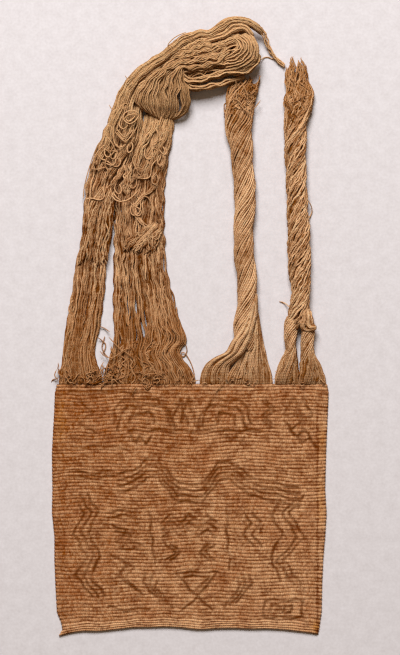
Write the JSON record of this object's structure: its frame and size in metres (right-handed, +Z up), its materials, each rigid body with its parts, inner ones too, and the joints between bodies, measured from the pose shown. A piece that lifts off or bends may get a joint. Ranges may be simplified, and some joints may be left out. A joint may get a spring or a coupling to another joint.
{
  "type": "woven bag with yarn strap",
  "caption": "Flat woven cotton bag: ribbed, faintly painted cloth with its warps left unwoven at the mouth as wavy hanks, a folded skein and twisted ropes that make a strap.",
  "frame": {"origin": "middle of the outline in X and Y, on the surface that the bag lies on", "axes": "+X to the right, +Y from the cloth towards the strap, +Z up from the surface"},
  "size_m": [0.2447, 0.5475, 0.0231],
  "materials": {
    "cloth_front": "matte ribbed weave",
    "cloth_back": "matte ribbed weave",
    "yarn_brown": "matte spun yarn",
    "yarn_tan": "matte spun yarn"
  },
  "bodies": {
    "root": {"back_panel": "cloth_back", "front_panel": "cloth_front", "hank_outer": "yarn_brown", "hank_inner": "yarn_brown", "strap_skein": "yarn_brown", "skein_lobe": "yarn_brown", "rope_inner_foot": "yarn_tan", "rope_inner": "yarn_tan", "rope_outer_leg_left": "yarn_tan", "rope_outer_leg_right": "yarn_tan", "rope_outer": "yarn_tan", "tie_yarns": "yarn_brown"}
  },
  "joints": []
}
